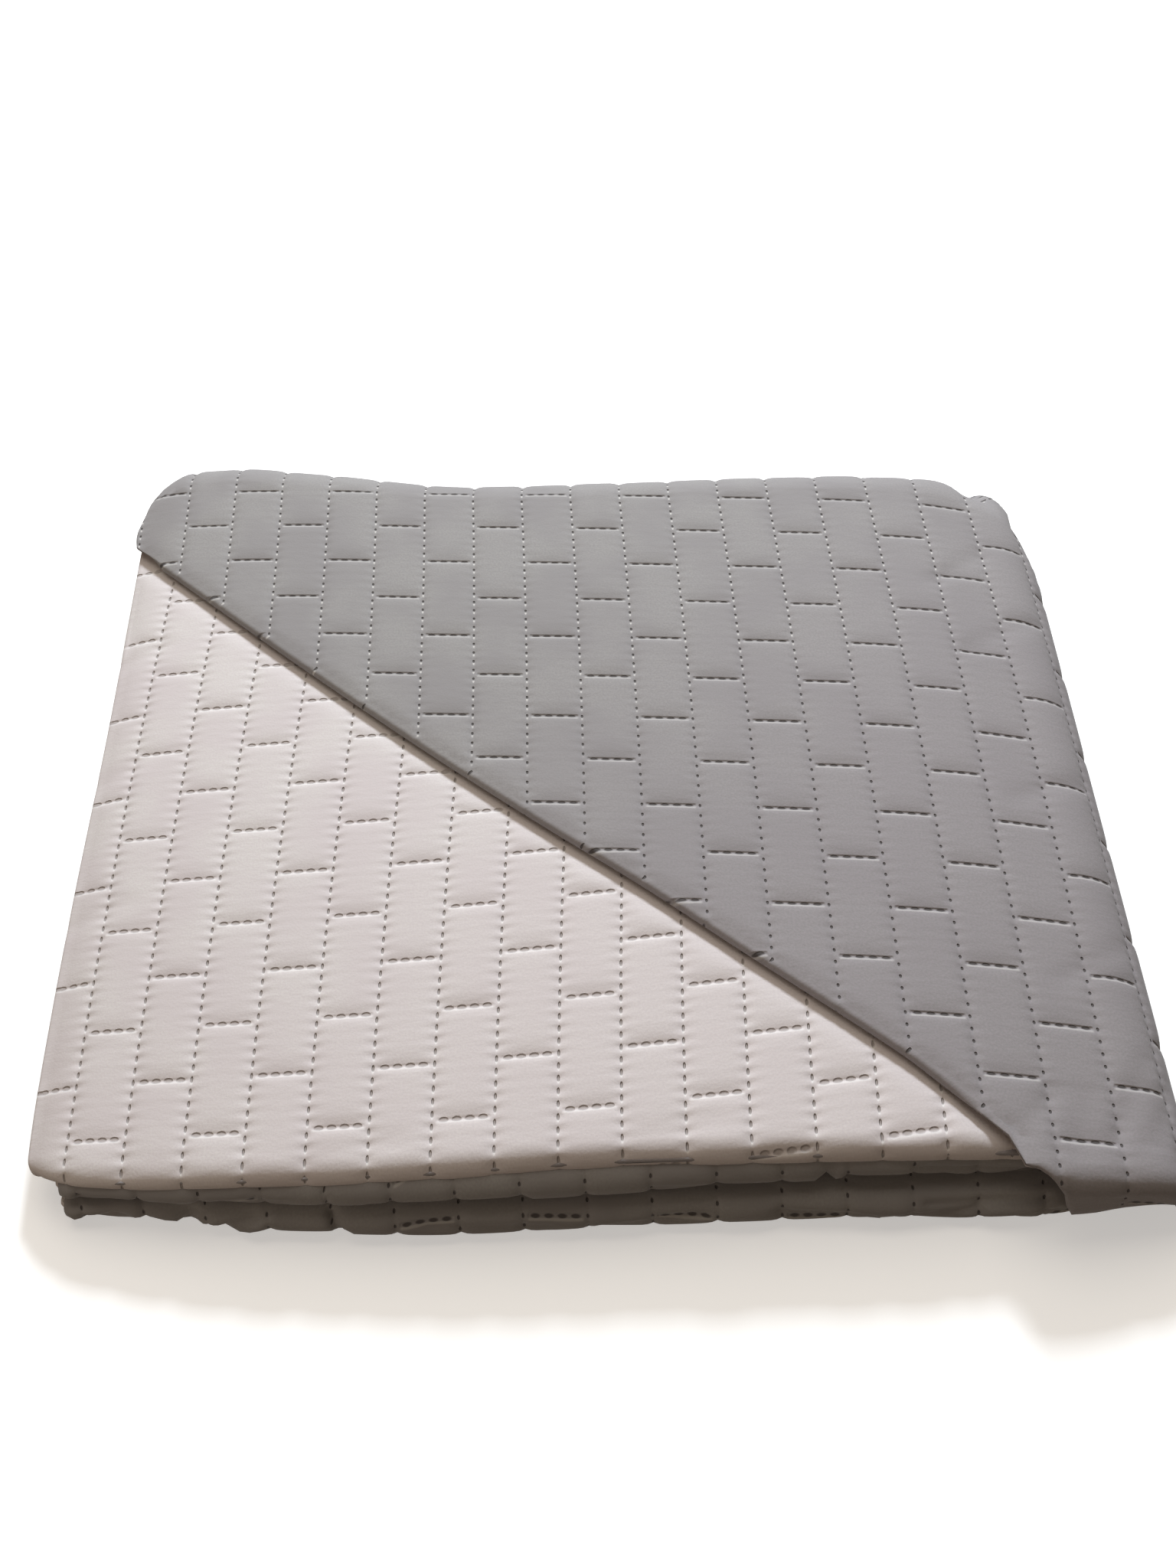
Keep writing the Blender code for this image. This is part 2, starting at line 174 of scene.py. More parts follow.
# Creases round the fronts of the folds. Each runs from one x and angle up from the underside to
# another, and sinks by its depth, or rises where that is negative.
Crease = collections.namedtuple("Crease", "part x1 angle1 x2 angle2 width depth")
FOLD_CREASES = [
    Crease("lower", 0.012, 1.3, 0.022, 1.6, 0.0050, 0.0045),
    Crease("lower", 0.002, 2.3, 0.030, 2.6, 0.0030, -0.0018),
    Crease("lower", 0.036, 0.0, 0.036, 0.8, 0.0090, 0.0036),
    Crease("lower", 0.052, 1.1, 0.054, 2.2, 0.0042, 0.0048),
    Crease("lower", 0.064, 1.0, 0.080, 2.3, 0.0026, 0.0027),
    Crease("lower", 0.072, 1.0, 0.088, 2.2, 0.0030, -0.0015),
    Crease("lower", 0.116, 1.0, 0.113, 2.6, 0.0024, 0.0030),
    Crease("lower", 0.150, 1.9, 0.200, 1.6, 0.0026, 0.0016),
    Crease("lower", 0.222, 1.2, 0.262, 1.9, 0.0028, 0.0018),
    Crease("lower", 0.292, 1.8, 0.330, 1.3, 0.0028, 0.0024),
    Crease("lower", 0.338, 1.2, 0.372, 1.9, 0.0024, 0.0030),
    Crease("lower", 0.352, 2.2, 0.398, 2.5, 0.0026, 0.0027),
    Crease("lower", 0.376, 1.0, 0.402, 1.6, 0.0026, 0.0027),
    Crease("upper", 0.010, 1.5, 0.046, 1.0, 0.0030, 0.0021),
    Crease("upper", 0.058, 1.1, 0.096, 1.5, 0.0028, 0.0015),
    Crease("upper", 0.130, 1.0, 0.190, 1.2, 0.0030, 0.0016),
    Crease("upper", 0.246, 1.4, 0.290, 0.9, 0.0028, 0.0018),
    Crease("upper", 0.311, 0.4, 0.314, 2.5, 0.0022, 0.0033),
    Crease("upper", 0.322, 1.2, 0.360, 0.9, 0.0028, 0.0027),
    Crease("upper", 0.350, 1.8, 0.392, 1.4, 0.0026, 0.0027),
    Crease("upper", 0.385, 0.6, 0.405, 1.1, 0.0026, 0.0024),
]

# Creases of the top layer, each from one x and y of the flat pattern to another.
Wrinkle = collections.namedtuple("Wrinkle", "x1 y1 x2 y2 width depth")
TOP_WRINKLES = [
    Wrinkle(0.425, 0.004, 0.441, 0.040, 0.0030, 0.0011),
    Wrinkle(0.436, 0.002, 0.452, 0.034, 0.0030, 0.0010),
    Wrinkle(0.408, -0.004, 0.417, 0.024, 0.0034, 0.0008),
    Wrinkle(0.386, 0.006, 0.404, 0.024, 0.0040, 0.0009),
    Wrinkle(0.418, 0.075, 0.444, 0.094, 0.0044, 0.0008),
    Wrinkle(0.416, 0.170, 0.446, 0.184, 0.0050, 0.0008),
    Wrinkle(0.410, 0.262, 0.440, 0.281, 0.0050, 0.0008),
    Wrinkle(0.398, 0.306, 0.424, 0.326, 0.0050, 0.0009),
    Wrinkle(-0.010, 0.060, 0.012, 0.070, 0.0045, 0.0008),
    Wrinkle(-0.012, 0.135, 0.010, 0.142, 0.0045, 0.0009),
    Wrinkle(-0.012, 0.215, 0.010, 0.224, 0.0045, 0.0008),
    Wrinkle(-0.012, 0.290, 0.008, 0.298, 0.0045, 0.0008),
    Wrinkle(0.030, 0.012, 0.052, 0.010, 0.0060, 0.0009),
    Wrinkle(0.105, 0.008, 0.140, 0.014, 0.0060, 0.0008),
    Wrinkle(0.240, 0.010, 0.270, 0.016, 0.0060, 0.0007),
]

# How far the raised quilting takes to fade out at the right and left ends, at the diagonal edge
# and where the light ply goes under it, and round the back turn. The light face counts as hidden
# this far under the diagonal edge.
RIGHT_FADE = 0.005
LEFT_FADE = 0.003
EDGE_FADE = 0.006
COVER_START = 0.004
COVER_FADE = 0.008
WRAP_FADE = 1.2
HIDDEN_UNDER = 0.010

# The grid of the mesh. Columns crowd at the welded lines, and rows at the dashed seams. The cloth
# thins towards its front hem by HEM_TAPER. The settling of the grid starts at START_Y.
LINE_OFFSETS = (0, 0.035, 0.09, 0.18, 0.32, 0.5, 0.68, 0.82, 0.91, 0.965)
SEAM_OFFSETS = (
    0, 0.025, 0.055, 0.10, 0.17, 0.27, 0.39, 0.51, 0.63, 0.75, 0.85, 0.92, 0.96, 0.985,
)
SETTLE_STEPS = 8
START_Y = 0.2
START_BACK = 0.37
HEM_ROWS = 12
TURN_STEPS = 18
SIDE_TURN_STEPS = 6
HEM_STEP = 0.0003
HEM_TAPER = np.array([0.30, 0.72, 0.92] + [1.0] * (HEM_ROWS - 2))
SAME_POINT = 0.000004
FLAT_ANGLE = math.radians(1)


def smoothstep(value):
    value = np.clip(value, 0, 1)
    return value * value * (3 - 2 * value)


def blend(start, end, share):
    return start + (end - start) * share


def curve_through(x, places, values):
    """A smooth curve through a short table of places and values."""
    places, values = np.array(places), np.array(values)
    slopes = np.gradient(values, places)
    x = np.clip(x, places[0], places[-1])
    index = np.clip(np.searchsorted(places, x) - 1, 0, len(places) - 2)
    width = places[index + 1] - places[index]
    share = (x - places[index]) / width
    start = values[index] + width * slopes[index] * share * (1 - share) ** 2
    bend = (values[index + 1] - values[index]) * share**2 * (3 - 2 * share)
    return start + bend - width * slopes[index + 1] * share**2 * (1 - share)


def station_value(x, name):
    places = [station.x for station in STATIONS]
    return curve_through(x, places, [getattr(station, name) for station in STATIONS])


def columns_of_sheet():
    """Ply, line number or x, and angle of each column, from the left hem of ply a to c's end."""
    lines = [k + offset for k in range(-2, 19) for offset in LINE_OFFSETS]
    turn = [math.pi * (0.5 - step / SIDE_TURN_STEPS) for step in range(1, SIDE_TURN_STEPS)]
    columns = [("a", line, 0) for line in lines]
    columns += [("right", 0, angle) for angle in turn]
    columns += [("b", line, 0) for line in reversed(lines)]
    columns += [("left", 0, angle) for angle in turn]
    columns += [("c", station.x, 0) for station in STATIONS]
    return columns


def rows_of_sheet():
    """Part and place of each row, from the front of the top layer to the end inside the pack."""
    rows = [("hem", step) for step in range(HEM_ROWS + 1)]
    rows += [("top", row + offset) for row in range(-2, 16) for offset in SEAM_OFFSETS]
    for part in ("wrap", "lower", "inner", "upper"):
        rows += [(part, math.pi * step / TURN_STEPS) for step in range(TURN_STEPS + 1)]
    rows.append(("end", 0))
    return rows


def beside_segment(x, y, start, end):
    """How far each point is from the line between two points, which fades out past its ends."""
    along = np.array(end) - np.array(start)
    length = np.hypot(*along)
    share = ((x - start[0]) * along[0] + (y - start[1]) * along[1]) / length**2
    share = np.clip(share, 0, 1)
    return np.hypot(x - start[0] - share * along[0], y - start[1] - share * along[1])


class Sheet:
    """The grid as arrays: one row of the arrays for each column of the sheet."""

    def __init__(self):
        columns, rows = columns_of_sheet(), rows_of_sheet()
        shape = (len(columns), len(rows))
        self.ply = np.broadcast_to(np.array([c[0] for c in columns])[:, None], shape)
        self.line = np.broadcast_to(np.array([c[1] for c in columns], float)[:, None], shape)
        self.angle = np.broadcast_to(np.array([c[2] for c in columns], float)[:, None], shape)
        self.part = np.broadcast_to(np.array([r[0] for r in rows])[None, :], shape)
        self.place = np.broadcast_to(np.array([r[1] for r in rows], float)[None, :], shape)
        self.on_top = np.isin(self.part, ("hem", "top"))
        self.shape = shape

    def by_ply(self, **values):
        """One array from a value for each ply."""
        return np.select([self.ply == name for name in values], list(values.values()))


def line_x(grid, line, y):
    start = grid.line + grid.line_lean * y + grid.line_bow * y**2
    return start + line * (grid.column + grid.column_fan * y)


def row_y(grid, row, x):
    start = grid.row + grid.row_lean * x + grid.row_bow * x**2
    return start + row * (grid.step + grid.step_fan * x)


def line_at(grid, x, y):
    """The line number at a point, as line_x turned round."""
    return (x - line_x(grid, 0, y)) / (grid.column + grid.column_fan * y)


def row_at(grid, x, y):
    return (y - row_y(grid, 0, x)) / (grid.step + grid.step_fan * x)


def edge_front(x):
    straight = EDGE_START_Y + EDGE_SLOPE * (x - EDGE_START_X)
    return np.maximum(straight + curve_through(x, EDGE_PLACES, EDGE_BOWS), CORNER_FRONT)


def roll_centre(x):
    return edge_front(x) + (EDGE_RADIUS + PLY / 2) / math.cos(EDGE_ANGLE)


def lip_front(x):
    """The front of the light ply. Under the grey corner it is drawn in."""
    hem = station_value(x, "hem") + LIP_SET
    return blend(hem, CORNER_FRONT + PITCH, smoothstep((x - LOW_RIGHT + COLUMN) / COLUMN))


def settle(x, y, z):
    """The height of a point once the layers have sunk to their loft."""
    loft = blend(station_value(x, "front_loft"), station_value(x, "back_loft"), y / LOFT_BACK)
    return (z - BASE_LEVEL) * loft


def under_outer_face(x):
    """The x in the middle of the bent margin for a distance measured along its outer face."""
    past = np.maximum(x - MARGIN_START, 0)
    on_bend = np.minimum(past, OUTER_RADIUS * MARGIN_ANGLE)
    return x - on_bend * (1 - OUTER_SHARE)


def along_outer_face(x):
    """under_outer_face turned round."""
    past = np.maximum(x - MARGIN_START, 0)
    on_bend = np.minimum(past, MARGIN_RADIUS * MARGIN_ANGLE)
    return x + on_bend * (1 / OUTER_SHARE - 1)


def bend_over_margin(x, level):
    """Bends the top layer over the right edge of the layers below: the new x and height."""
    angle = np.clip((x - MARGIN_START) / MARGIN_RADIUS, 0, MARGIN_ANGLE)
    straight = np.maximum(x - MARGIN_START - MARGIN_RADIUS * MARGIN_ANGLE, 0)
    radius = MARGIN_RADIUS + level
    bent_x = MARGIN_START + radius * np.sin(angle) + straight * np.cos(angle)
    bent_z = TOP_LEVEL - MARGIN_RADIUS + radius * np.cos(angle) - straight * np.sin(angle)
    over = x > MARGIN_START
    return np.where(over, bent_x, x), np.where(over, bent_z, TOP_LEVEL + level)


class Folds:
    """Places both faces of the sheet in the folded pack."""

    def __init__(self, sheet):
        self.sheet = sheet
        on_top, part, place = sheet.on_top, sheet.part, sheet.place
        down = np.where(part == "wrap", place / math.pi, np.where(on_top, 0, 1))
        self.level = blend(2 * PITCH, PITCH, down)
        self.y = np.full(sheet.shape, START_Y)
        self.back = np.full(sheet.shape, START_BACK)
        for _ in range(SETTLE_STEPS):
            self.find_place(down)

    def find_place(self, down):
        """One step towards the flat place of each point. Its column and its row cross there."""
        sheet = self.sheet
        bulge = LEFT_BULGE * np.exp(-(((self.y - LEFT_BULGE_PLACE) / LEFT_BULGE_WIDTH) ** 2))
        left = curve_through(self.y, LEFT_PLACES, LEFT_ENDS) - bulge * (sheet.ply == "a")
        self.left = blend(left, LOW_LEFT, down)
        limit = np.where(sheet.on_top, MARGIN_END, LOW_RIGHT)
        self.x = sheet.by_ply(
            a=under_outer_face(line_x(GREY_GRID, sheet.line, self.y)),
            right=limit,
            b=line_x(LIGHT_GRID, sheet.line, self.y),
            left=self.left,
            c=sheet.line,
        )
        home_limit = np.minimum(self.right_end(self.y), STATIONS[-1].x)
        home_limit = np.where(sheet.ply == "c", LOW_RIGHT - PITCH, home_limit)
        self.home = np.clip(self.x, self.left, home_limit)
        self.back = station_value(self.home, "back")
        self.x_top = np.clip(self.x, self.left, MARGIN_END)
        self.front = self.front_at(self.x_top, self.back)
        grey_row = row_y(GREY_GRID, sheet.place, self.x_top)
        light_row = row_y(LIGHT_GRID, sheet.place, self.x_top)
        row = np.where(np.isin(sheet.ply, ("a", "right")), grey_row, light_row)
        row = np.select([sheet.part == "hem", sheet.part == "top"], [self.front, row], self.back)
        self.y = np.clip(row, self.front, self.back)

    def front_at(self, x, back):
        """Where the flat of the top layer starts, behind its hem, lip or rolled edge."""
        hem = station_value(x, "hem")
        corner = np.where(x < TUCK_FADE[1], roll_centre(x), CORNER_FRONT)
        lip = lip_front(x) + LIP_RADIUS * math.sin(LIP_ANGLE)
        front = self.sheet.by_ply(
            a=np.maximum(corner, CORNER_FRONT),
            right=np.full(x.shape, CORNER_FRONT),
            b=lip,
            left=lip,
            c=hem + 2 * PITCH,
        )
        return np.minimum(front, back)

    def right_end(self, y):
        """How far the top layer and the back turn reach to the right."""
        sheet = self.sheet
        past = y - (self.back - CORNER_REACH)
        wrapped = np.where(sheet.part == "wrap", BACK_TURN * sheet.place, 0)
        share = (past + wrapped) / (CORNER_REACH + BACK_TURN * math.pi / 2)
        top = blend(MARGIN_END, LOW_RIGHT, np.clip(share, 0, 1) ** CORNER_POWER)
        return np.where(np.isin(sheet.part, ("hem", "top", "wrap")), top, LOW_RIGHT)

    def across(self, x, right, offset):
        """x and level of the face at this offset, on the grey side of the middle of the cloth."""
        sheet, left, level = self.sheet, self.left, self.level
        cosine, sine = np.cos(sheet.angle), np.sin(sheet.angle)
        x = np.clip(x, left, right)
        across_x = sheet.by_ply(
            a=x,
            right=right + (level / 2 + offset) * cosine,
            b=x,
            left=left - (PITCH / 2 - offset) * cosine,
            c=np.clip(x, left, LOW_RIGHT - PITCH),
        )
        across_level = sheet.by_ply(
            a=level + offset,
            right=level / 2 + (level / 2 + offset) * sine,
            b=-offset,
            left=-PITCH / 2 + (PITCH / 2 - offset) * sine,
            c=-PITCH + offset,
        )
        return across_x, across_level

    def top_points(self, offset):
        """The top layer, with its lip, its hanging corner and its diagonal edge."""
        sheet = self.sheet
        hem_step = HEM_STEP * (HEM_ROWS - sheet.place)
        y = np.where(sheet.part == "hem", self.front - hem_step, self.y)
        right = self.right_end(y)
        x = np.clip(self.x_top, self.left, right)
        across_x, level = self.across(x, right, offset)
        rolled = (sheet.part == "hem") * (1 - sheet.place / HEM_ROWS)
        by_corner = 1 - smoothstep((x - self.left) / LIP_CORNER_WIDTH)
        across_x = across_x + LIP_CORNER * rolled**LIP_CORNER_POWER * by_corner
        bent_x, z = bend_over_margin(across_x, level)
        for wrinkle in TOP_WRINKLES:
            distance = beside_segment(x, y, wrinkle[0:2], wrinkle[2:4])
            z = z - wrinkle.depth * np.exp(-((distance / wrinkle.width) ** 2))
        y, z = self.lip(y, z, offset)
        y, z = self.hanging_corner(x, y, z, offset)
        return self.rolled_edge(x, y, bent_x, z, offset)

    def lip(self, y, z, offset):
        """Rolls the front of the light ply over."""
        sheet = self.sheet
        angle = LIP_ANGLE * (1 - sheet.place / HEM_ROWS)
        radius = LIP_RADIUS - np.where(sheet.ply == "b", offset, 0)
        rolled_y = self.front - radius * np.sin(angle)
        drop = radius * (1 - np.cos(angle))
        on = (sheet.part == "hem") & np.isin(sheet.ply, ("b", "left"))
        return np.where(on, rolled_y, y), np.where(on, z - drop, z)

    def hanging_corner(self, x, y, z, offset):
        """Lets the front corner of the grey ply hang over the front of the pack."""
        sheet = self.sheet
        length = curve_through(x, CORNER_PLACES, CORNER_LENGTHS) * (1 - sheet.place / HEM_ROWS)
        angle = np.minimum(length / CORNER_BEND, math.pi / 2)
        straight = length - CORNER_BEND * angle
        hung_y = CORNER_FRONT - (CORNER_BEND + offset) * np.sin(angle)
        drop = (CORNER_BEND + offset) * (1 - np.cos(angle)) + straight
        on = (sheet.part == "hem") & (sheet.ply == "a") & (x >= TUCK_FADE[1])
        return np.where(on, hung_y, y), np.where(on, np.maximum(z - drop, CORNER_CLEAR), z)

    def rolled_edge(self, x, y, bent_x, z, offset):
        """Turns the free corner of the grey ply under along the diagonal."""
        sheet = self.sheet
        k = sheet.place
        share = 1 - np.clip((x - TUCK_FADE[0]) / (TUCK_FADE[1] - TUCK_FADE[0]), 0, 1)
        turned = np.radians(blend(-90, 90, np.clip((k - 1) / (HEM_ROWS - 1), 0, 1)))
        angle = blend(math.pi / 2, turned, share)
        radius = EDGE_RADIUS + offset
        room = self.back - roll_centre(x) - TUCK_CLEAR
        inward = np.clip(TUCK_FADE[0] - x, 0, np.clip(room, 0, TUCK)) * (k == 0)
        slack = HEM_STEP * (k - HEM_ROWS) * (1 - share)
        by_corner = 1 - smoothstep((x - self.left) / EDGE_CORNER_WIDTH)
        round_corner = EDGE_CORNER * by_corner * smoothstep(2 * (1 - k / HEM_ROWS))
        edge_x = x + round_corner - radius * np.cos(angle) * math.sin(EDGE_ANGLE)
        edge_y = roll_centre(x) - radius * np.cos(angle) * math.cos(EDGE_ANGLE) + inward + slack
        edge_z = TOP_LEVEL + EDGE_LEVEL + radius * np.sin(angle)
        on = (sheet.part == "hem") & (sheet.ply == "a") & (x < TUCK_FADE[1])
        return np.where(on, edge_x, bent_x), np.where(on, edge_y, y), np.where(on, edge_z, z)

    def low_points(self, offset):
        """The back turn and the layers below the top one."""
        sheet, part = self.sheet, self.sheet.part
        right = self.right_end(self.back)
        x = np.clip(self.x, self.left, right)
        across_x, level = self.across(x, right, offset)
        for crease in FOLD_CREASES:
            start, end = (crease.x1, crease.angle1 * BUNDLE), (crease.x2, crease.angle2 * BUNDLE)
            distance = beside_segment(x, sheet.place * BUNDLE, start, end)
            dip = crease.depth * np.exp(-((distance / crease.width) ** 2))
            level = level - dip * (part == crease.part)
        sine, cosine = np.sin(sheet.place), np.cos(sheet.place)
        front = {
            name: station_value(self.home, name) + FOLD_REACH for name in ("lower", "upper")
        }
        names = ("wrap", "lower", "inner", "upper", "end")
        y_parts = (
            self.back + BACK_TURN * sine,
            front["lower"] - FRONT_TURN * sine,
            self.back - INNER_BACK + FRONT_TURN * sine,
            front["upper"] - FRONT_TURN * sine,
            self.back - INNER_END,
        )
        z_parts = (
            WRAP_LEVEL + BACK_TURN * cosine,
            LOWER_LEVEL - FRONT_TURN * cosine,
            INNER_LEVEL - FRONT_TURN * cosine,
            UPPER_LEVEL - FRONT_TURN * cosine,
            END_LEVEL,
        )
        normal_y = (sine, -sine, -sine, -sine, 0 * sine)
        normal_z = (cosine, -cosine, cosine, -cosine, 1 + 0 * sine)
        picks = [part == name for name in names]
        y = np.select(picks, y_parts) + level * np.select(picks, normal_y)
        z = np.select(picks, z_parts) + level * np.select(picks, normal_z)
        bent_x, margin_z = bend_over_margin(across_x, level)
        share = (margin_z - BASE_LEVEL) / (TOP_LEVEL + level - BASE_LEVEL)
        scaled = BASE_LEVEL + (z - BASE_LEVEL) * share
        wrap = part == "wrap"
        return np.where(wrap, bent_x, across_x), y, np.where(wrap, scaled, z)

    def points(self, offset):
        """The face at this offset from the middle of the cloth, kept above the floor."""
        on_top = self.sheet.on_top
        top, low = self.top_points(offset), self.low_points(offset)
        x, y, z = (np.where(on_top, high, under) for high, under in zip(top, low))
        return np.stack([x, y, np.maximum(settle(x, y, z), 0)], axis=-1)


def brick_noise(column, row):
    """A steady value from 0 to 1 for each brick."""
    value = np.sin(column * 12.9898 + row * 78.233) * 43758.5453
    return value - np.floor(value)


def quilting(s, t, style):
    """How far the bricks puff out. s counts welded lines, t counts half bricks along them."""
    from_line = np.abs(s - np.round(s)) * COLUMN
    brick = np.floor(s)
    steps = (t - brick) / 2
    past_seam = (steps - np.round(steps)) * 2 * COLUMN
    puff = (1 - style.swell) * (1 - np.exp(-((from_line / style.line_flank) ** LINE_POWER)))
    puff = puff + style.swell * np.sin(math.pi * (s - brick))
    gate = smoothstep((from_line - DIP_START) / DIP_WIDTH)
    slope = np.where(past_seam > 0, style.seam_back, style.seam_front)
    dip = gate * np.exp(-((np.abs(past_seam) / slope) ** SEAM_POWER))
    full = LEAST_FULL + MORE_FULL * brick_noise(brick, np.floor(steps))
    return style.crown * full * puff * (1 - dip)


def pattern_places(folds, middle):
    """Line and row number on the grey grid and on the light grid at each point of the sheet."""
    part = folds.sheet.part
    y = middle[..., 1]
    x_flat = np.clip(folds.x, folds.left, folds.right_end(y))
    steps = np.linalg.norm(np.diff(middle, axis=1), axis=-1)
    along = np.concatenate([np.zeros((len(y), 1)), np.cumsum(steps, axis=1)], axis=1)
    top_rows = np.where(part[0] == "top")[0]
    first, last = top_rows[0], top_rows[-1]
    before = folds.y[:, first, None] + along - along[:, first, None]
    past = folds.y[:, last, None] + along - along[:, last, None]
    y_flat = np.select([part == "top", part == "hem"], [folds.y, before], past)
    places = []
    for grid, x_face in ((GREY_GRID, along_outer_face(x_flat)), (LIGHT_GRID, x_flat)):
        line, row = line_at(grid, x_face, folds.y), row_at(grid, x_flat, y_flat)
        places.append(np.stack([line, row], axis=-1))
    return places


def raised_quilting(folds, middle, grey, light):
    """The quilting on the grey face and on the light face, faded where the cloth is covered."""
    sheet, part, place = folds.sheet, folds.sheet.part, folds.sheet.place
    x, y = middle[..., 0], middle[..., 1]
    right = folds.right_end(y)
    x_flat = np.clip(folds.x, folds.left, right)
    from_side = smoothstep((right - x_flat) / RIGHT_FADE)
    from_side = from_side * smoothstep((x_flat - folds.left) / LEFT_FADE)
    round_front = np.where(np.isin(part, ("lower", "upper")), np.sin(place), 0)
    round_back = np.where(part == "wrap", smoothstep((math.pi - place) / WRAP_FADE), 0)
    behind_edge = smoothstep((y - roll_centre(x)) / EDGE_FADE)
    on_corner = smoothstep((x - TUCK_FADE[1]) / EDGE_FADE)
    hem_share = np.sqrt(np.clip(place / HEM_ROWS, 0, 1))
    on_hem = part == "hem"
    on_flat = np.where(on_hem, on_corner * hem_share, np.maximum(behind_edge, on_corner))
    grey_fade = np.where(sheet.on_top, on_flat, round_front + round_back)
    grey_up = quilting(grey[..., 0], grey[..., 1], GREY_PUFF) * grey_fade * from_side
    uncovered = smoothstep((edge_front(x) - COVER_START - y) / COVER_FADE)
    lip = np.where(on_hem, hem_share, 1)
    light_up = quilting(light[..., 0], light[..., 1], LIGHT_PUFF) * uncovered * lip * from_side
    return grey_up * (sheet.ply == "a"), light_up * (sheet.on_top & (sheet.ply == "b"))


def hidden_faces(folds, middle):
    """Which faces of the grid nobody sees, on the grey side and on the light side."""
    sheet, part = folds.sheet, folds.sheet.part
    inside = np.isin(part, ("inner", "end"))
    hem = part == "hem"
    grey_shown = np.isin(sheet.ply, ("a", "right")) & ~inside
    light_shown = (sheet.ply == "left") | (sheet.ply == "b") & sheet.on_top & (
        middle[..., 1] < edge_front(middle[..., 0]) + HIDDEN_UNDER
    )
    grey_hidden = ~(grey_shown | hem)
    light_hidden = ~(light_shown | hem)
    return grey_hidden[:-1, :-1], light_hidden[:-1, :-1]


def sheet_mesh(name, grey, light, grey_uv, light_uv, grey_hidden, light_hidden):
    """One closed skin round the cloth, as a mesh with the flat pattern as its UV map."""
    columns, rows = grey.shape[:2]
    shift = columns * rows
    index = np.arange(shift).reshape(columns, rows)
    under = index + shift
    a, b, c, d = index[:-1, :-1], index[1:, :-1], index[1:, 1:], index[:-1, 1:]
    on_grey = np.stack([a, b, c, d], axis=-1).reshape(-1, 4)
    on_light = np.stack([a, d, c, b], axis=-1).reshape(-1, 4) + shift
    front = np.stack([index[:-1, 0], under[:-1, 0], under[1:, 0], index[1:, 0]], axis=-1)
    end = np.stack([index[:-1, -1], index[1:, -1], under[1:, -1], under[:-1, -1]], axis=-1)
    first = np.stack([index[0, :-1], index[0, 1:], under[0, 1:], under[0, :-1]], axis=-1)
    last = np.stack([index[-1, :-1], under[-1, :-1], under[-1, 1:], index[-1, 1:]], axis=-1)
    faces = np.concatenate([on_grey, on_light, front, end, first, last])
    material = np.zeros(len(faces), int)
    material[len(on_grey) : len(on_grey) + len(on_light)] = 1
    hidden = np.zeros(len(faces), int)
    hidden[: len(on_grey)] = grey_hidden.reshape(-1)
    hidden[len(on_grey) : len(on_grey) + len(on_light)] = light_hidden.reshape(-1)
    points = np.concatenate([grey.reshape(-1, 3), light.reshape(-1, 3)])
    mesh = bpy.data.meshes.new(name)
    mesh.from_pydata(points.tolist(), [], faces.tolist())
    mesh.polygons.foreach_set("material_index", material)
    mesh.attributes.new("hidden", "INT", "FACE").data.foreach_set("value", hidden)
    uv = np.concatenate([grey_uv.reshape(-1, 2), light_uv.reshape(-1, 2)])
    corners = np.empty(len(mesh.loops), int)
    mesh.loops.foreach_get("vertex_index", corners)
    layer = mesh.uv_layers.new(name="quilting")
    layer.data.foreach_set("uv", uv[corners].reshape(-1))
    return mesh


def all_hidden(element, mark):
    faces = element.link_faces
    return len(faces) > 0 and all(face[mark] for face in faces)


def clean_mesh(mesh):
    """Merges what the folds bring together, and thins out the faces inside the pack."""
    work = bmesh.new()
    work.from_mesh(mesh)
    bmesh.ops.remove_doubles(work, verts=work.verts, dist=SAME_POINT)
    mark = work.faces.layers.int["hidden"]
    bmesh.ops.dissolve_limit(
        work,
        angle_limit=FLAT_ANGLE,
        verts=[vert for vert in work.verts if all_hidden(vert, mark)],
        edges=[edge for edge in work.edges if all_hidden(edge, mark)],
        delimit={"MATERIAL"},
    )
    bmesh.ops.triangulate(work, faces=[face for face in work.faces if len(face.verts) > 4])
    work.to_mesh(mesh)
    work.free()
    mesh.attributes.remove(mesh.attributes["hidden"])
    mesh.shade_smooth()


def quilt_piece():
    sheet = Sheet()
    folds = Folds(sheet)
    middle = folds.points(np.zeros(sheet.shape))
    grey_place, light_place = pattern_places(folds, middle)
    grey_up, light_up = raised_quilting(folds, middle, grey_place, light_place)
    half = np.full(sheet.shape, PLY / 2)
    hem = sheet.part == "hem"
    taper = HEM_TAPER[np.clip(sheet.place, 0, HEM_ROWS).astype(int)]
    half = np.where(hem, half * taper, half)
    grey = folds.points(half + grey_up)
    light = folds.points(-half - light_up)
    for points in (grey, light):
        points[..., 0] += RAW_SHIFT[0]
        points[..., 1] += RAW_SHIFT[1]
    hidden = hidden_faces(folds, middle)
    mesh = sheet_mesh(
        "quilt_cloth", grey, light, grey_place * COLUMN, light_place * COLUMN, *hidden
    )
    clean_mesh(mesh)
    piece = bpy.data.objects.new("quilt_cloth", mesh)
    bpy.context.scene.collection.objects.link(piece)
    return piece


# Materials

